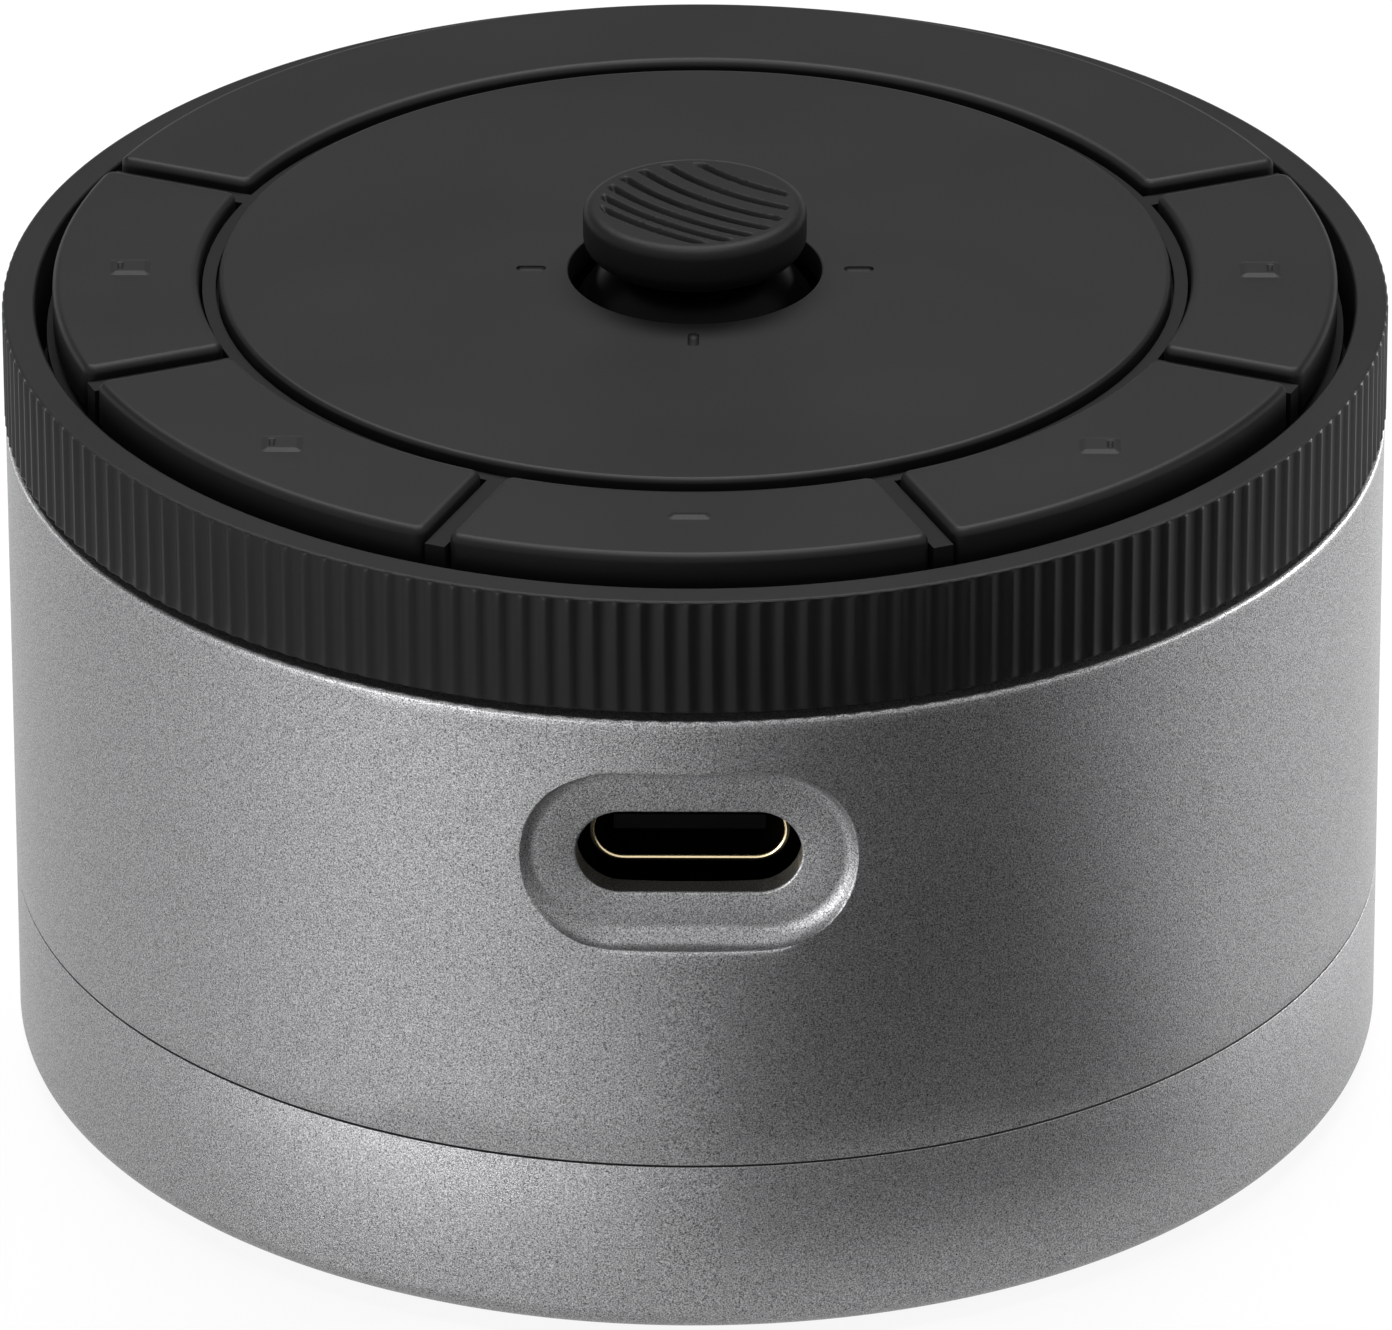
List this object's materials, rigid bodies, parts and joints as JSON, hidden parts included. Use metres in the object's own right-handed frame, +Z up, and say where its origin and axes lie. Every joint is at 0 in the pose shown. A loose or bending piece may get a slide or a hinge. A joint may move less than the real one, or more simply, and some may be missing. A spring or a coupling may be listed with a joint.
{
  "type": "volume control knob",
  "caption": "Round desktop volume controller with a free-turning knurled dial, a ring of soft keys, a sprung thumb-stick and a USB-C inlet.",
  "frame": {"origin": "centre of the face the knob rests on", "axes": "+Z up along the dial's axis, -Y towards the USB-C inlet and the front key, +X to the right of someone facing the inlet"},
  "size_m": [0.0626, 0.0626, 0.0414],
  "materials": {
    "blasted_metal": "fine bead-blasted, dark silver anodised",
    "dial_black": "satin black, knurled rim",
    "soft_black": "soft-touch black",
    "deck_black": "matt black moulding",
    "shield_grey": "semi-gloss dark grey",
    "foot_rubber": "matt rubber",
    "steel": "plain steel",
    "plated_steel": "nickel plated",
    "contact_brass": "gold flash",
    "board": "solder-masked circuit board",
    "chip": "moulded epoxy",
    "chassis_grey": "moulded plastic",
    "washer_black": "smooth low-friction plastic",
    "magnet": "nickel plated magnet",
    "flex": "flexible circuit"
  },
  "bodies": {
    "housing": {"foot_pad": "foot_rubber", "base_cup": "blasted_metal", "ballast": "steel", "tie_screws": "steel", "sleeve": "blasted_metal", "usb_shell": "plated_steel", "usb_tongue": "chip", "usb_contacts": "contact_brass", "main_board": "board", "board_screws": "steel", "controller_chip": "chip", "ribbon_cable": "flex", "chassis": "chassis_grey", "detent_magnets": "magnet", "glide_washer": "washer_black", "dial_clip": "steel", "encoder_sensor": "chip", "key_board": "board", "switch_cans": "steel", "deck": "deck_black", "deck_screws": "steel", "centre_disc": "soft_black", "disc_screws": "steel", "stick_board": "board", "hall_sensor": "chip", "stick_housing": "steel", "press_spring": "steel", "push_switch": "chip"},
    "dial": {"dial_ring": "dial_black", "dial_hub": "chassis_grey", "encoder_ring": "magnet", "detent_ring": "steel"},
    "stick_press": {"stick_carrier": "chassis_grey", "return_spring": "steel"},
    "gimbal": {"gimbal_ring": "steel"},
    "stick": {"stick_shaft": "steel", "stick_pin": "steel", "dust_shield": "shield_grey", "stick_cap": "soft_black", "stick_magnet": "magnet"},
    "key_left": {"key_left": "soft_black", "plunger_left": "deck_black"},
    "key_front_left": {"key_front_left": "soft_black", "plunger_front_left": "deck_black"},
    "key_front": {"key_front": "soft_black", "plunger_front": "deck_black"},
    "key_front_right": {"key_front_right": "soft_black", "plunger_front_right": "deck_black"},
    "key_right": {"key_right": "soft_black", "plunger_right": "deck_black"},
    "key_arc": {"key_arc": "soft_black", "plunger_arc": "deck_black"}
  },
  "joints": [
    {"name": "dial_turn", "type": "hinge", "parent": "housing", "child": "dial", "pos_m": [0, 0, 0.0342], "axis": [0, 0, 1], "continuous": true},
    {"name": "press_left", "type": "slide", "parent": "housing", "child": "key_left", "axis": [0, 0, -1], "range_m": [0, 0.00045], "stiffness_N_per_m": 1200, "springref_m": -0.0005},
    {"name": "press_front_left", "type": "slide", "parent": "housing", "child": "key_front_left", "axis": [0, 0, -1], "range_m": [0, 0.00045], "stiffness_N_per_m": 1200, "springref_m": -0.0005},
    {"name": "press_front", "type": "slide", "parent": "housing", "child": "key_front", "axis": [0, 0, -1], "range_m": [0, 0.00045], "stiffness_N_per_m": 1200, "springref_m": -0.0005},
    {"name": "press_front_right", "type": "slide", "parent": "housing", "child": "key_front_right", "axis": [0, 0, -1], "range_m": [0, 0.00045], "stiffness_N_per_m": 1200, "springref_m": -0.0005},
    {"name": "press_right", "type": "slide", "parent": "housing", "child": "key_right", "axis": [0, 0, -1], "range_m": [0, 0.00045], "stiffness_N_per_m": 1200, "springref_m": -0.0005},
    {"name": "press_arc", "type": "slide", "parent": "housing", "child": "key_arc", "axis": [0, 0, -1], "range_m": [0, 0.00045], "stiffness_N_per_m": 1200, "springref_m": -0.0005},
    {"name": "stick_push", "type": "slide", "parent": "housing", "child": "stick_press", "axis": [0, 0, -1], "range_m": [0, 0.0002], "stiffness_N_per_m": 3000, "springref_m": -0.0004},
    {"name": "stick_tilt_y", "type": "hinge", "parent": "stick_press", "child": "gimbal", "pos_m": [0, 0, 0.0336], "axis": [1, 0, 0], "range_deg": [-7, 7], "stiffness_Nm_per_rad": 0.03},
    {"name": "stick_tilt_x", "type": "hinge", "parent": "gimbal", "child": "stick", "pos_m": [0, 0, 0.0336], "axis": [0, 1, 0], "range_deg": [-7, 7], "stiffness_Nm_per_rad": 0.03}
  ]
}
